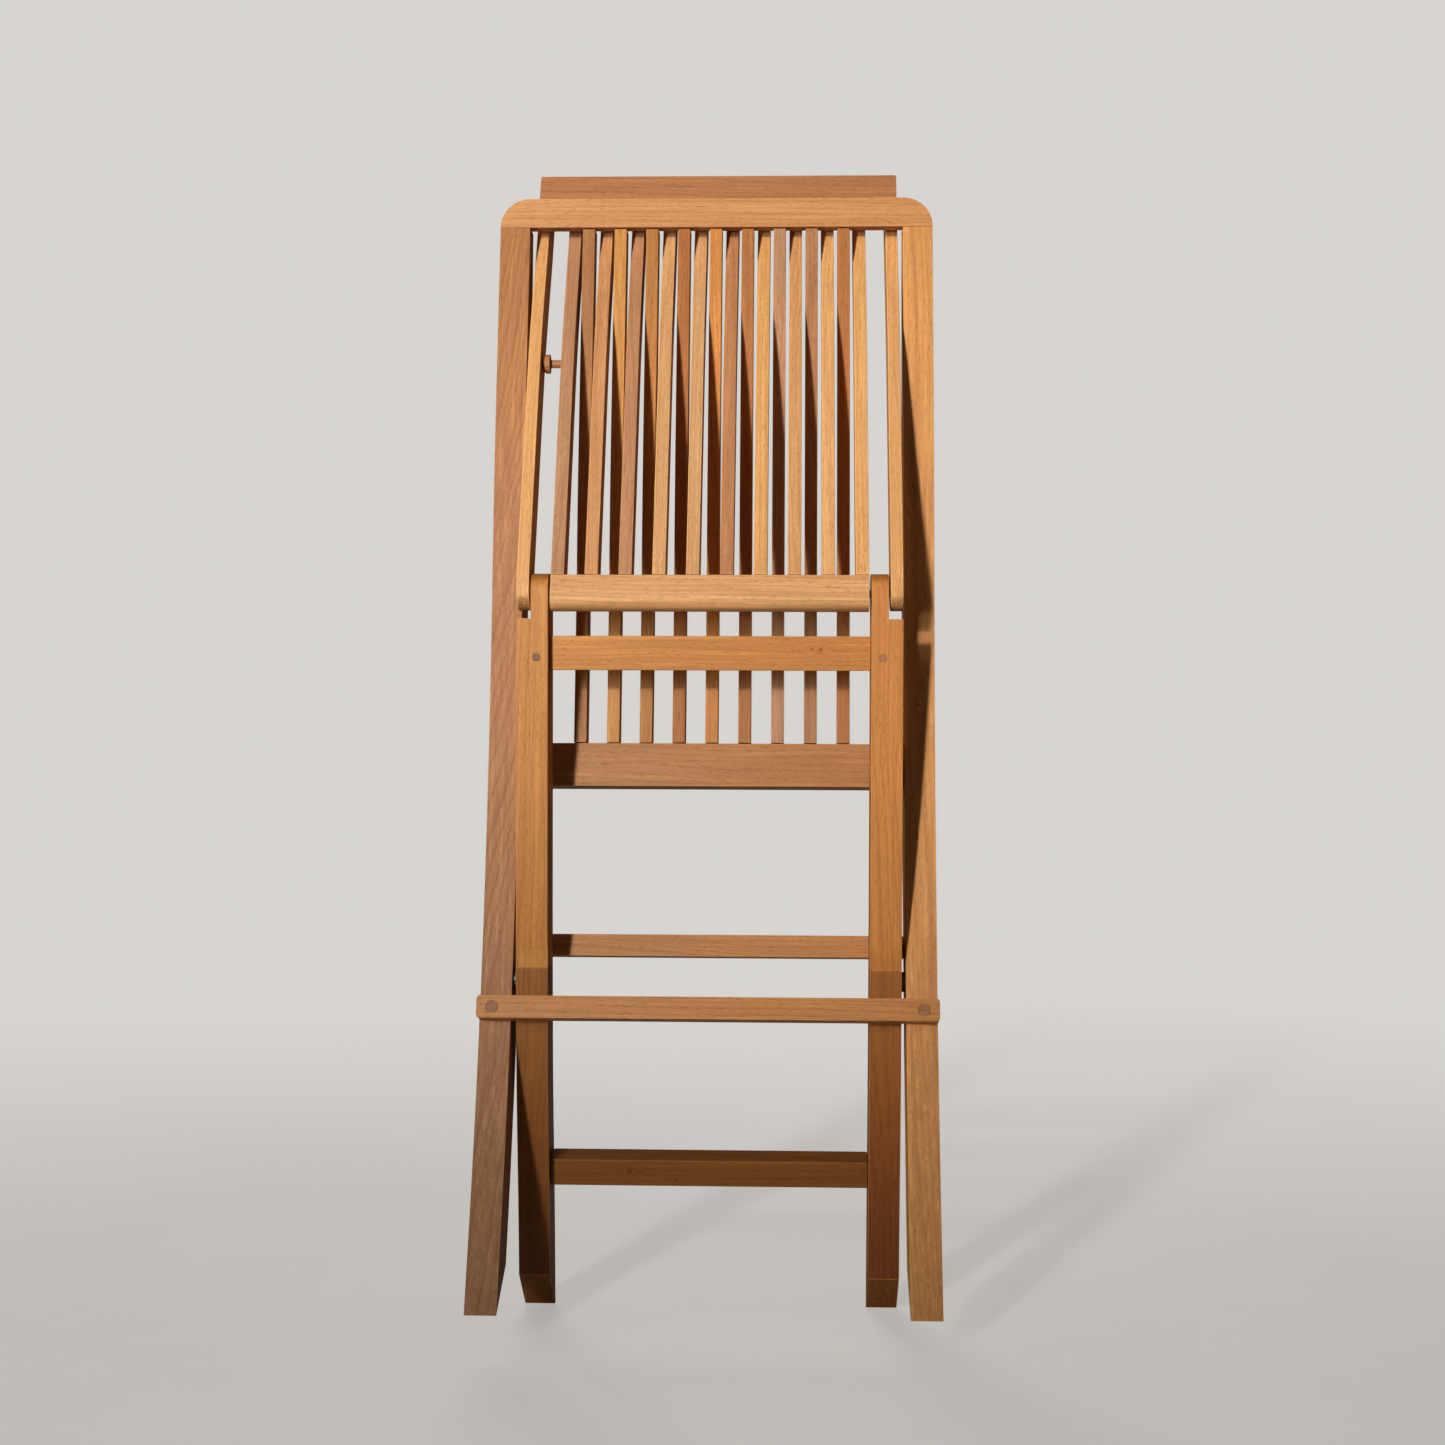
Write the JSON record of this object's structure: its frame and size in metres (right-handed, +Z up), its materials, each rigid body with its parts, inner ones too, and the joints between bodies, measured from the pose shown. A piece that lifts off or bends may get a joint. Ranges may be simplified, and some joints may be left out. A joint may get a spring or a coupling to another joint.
{
  "type": "folding chair",
  "caption": "Folding slatted wooden chair, folded flat: curved stiles with a slatted back, crossing rear legs and a slatted seat hinged at its front edge.",
  "frame": {"origin": "centre of the bounding box in X and Y, at the height of the lowest corners of the rear feet, with the chair folded and leaning back", "axes": "+X towards the sitter's left, +Y towards the rear, +Z up"},
  "size_m": [0.4116, 0.2813, 1.0755],
  "materials": {
    "stile_teak": "oiled, open grained",
    "rail_teak": "oiled, open grained",
    "back_slat_teak": "oiled, open grained",
    "leg_teak": "oiled, open grained",
    "leg_stretcher_teak": "oiled, open grained",
    "seat_slat_teak": "oiled, open grained",
    "side_rail_teak": "oiled, light honey brown",
    "dowel_wood": "bare end grain",
    "plug_teak": "sanded flush",
    "pin_steel": "dull steel"
  },
  "bodies": {
    "back_frame": {"stile_right": "stile_teak", "stile_left": "stile_teak", "top_rail": "rail_teak", "lower_back_rail": "rail_teak", "mid_stretcher": "rail_teak", "front_stretcher": "rail_teak", "back_slat_1": "back_slat_teak", "back_slat_2": "back_slat_teak", "back_slat_3": "back_slat_teak", "back_slat_4": "back_slat_teak", "back_slat_5": "back_slat_teak", "back_slat_6": "back_slat_teak", "back_slat_7": "back_slat_teak", "back_slat_8": "back_slat_teak", "back_slat_9": "back_slat_teak", "stretcher_plug_right": "plug_teak", "stretcher_screw_right": "pin_steel", "main_pivot_pin_right": "pin_steel", "pivot_washer_right": "pin_steel", "stretcher_plug_left": "plug_teak", "stretcher_screw_left": "pin_steel", "main_pivot_pin_left": "pin_steel", "pivot_washer_left": "pin_steel"},
    "rear_leg_frame": {"rear_leg_right": "leg_teak", "joint_dowel_right": "dowel_wood", "rear_leg_left": "leg_teak", "joint_dowel_left": "dowel_wood", "leg_top_rail": "rail_teak", "leg_stretcher": "leg_stretcher_teak"},
    "seat": {"seat_front_rail": "rail_teak", "seat_rear_rail": "rail_teak", "seat_slat_1": "seat_slat_teak", "seat_slat_2": "seat_slat_teak", "seat_slat_3": "seat_slat_teak", "seat_slat_4": "seat_slat_teak", "seat_slat_5": "seat_slat_teak", "seat_slat_6": "seat_slat_teak", "seat_slat_7": "seat_slat_teak", "seat_slat_8": "seat_slat_teak", "seat_slat_9": "seat_slat_teak", "seat_slat_10": "seat_slat_teak", "seat_side_rail_right": "side_rail_teak", "seat_pivot_pin_right": "pin_steel", "seat_side_rail_left": "side_rail_teak", "seat_pivot_pin_left": "pin_steel", "peg": "side_rail_teak"}
  },
  "joints": [
    {"name": "main_fold", "type": "hinge", "parent": "back_frame", "child": "rear_leg_frame", "pos_m": [0, -0.03195, 0.3098], "axis": [1, 0, 0], "range_deg": [0, 64.5]},
    {"name": "seat_fold", "type": "hinge", "parent": "rear_leg_frame", "child": "seat", "pos_m": [0, -0.04245, 0.6588], "axis": [1, 0, 0], "range_deg": [-116.5, 0]}
  ],
  "couplings": [
    {"joint": "seat_fold", "follows": "main_fold", "ratio": -1.805}
  ]
}
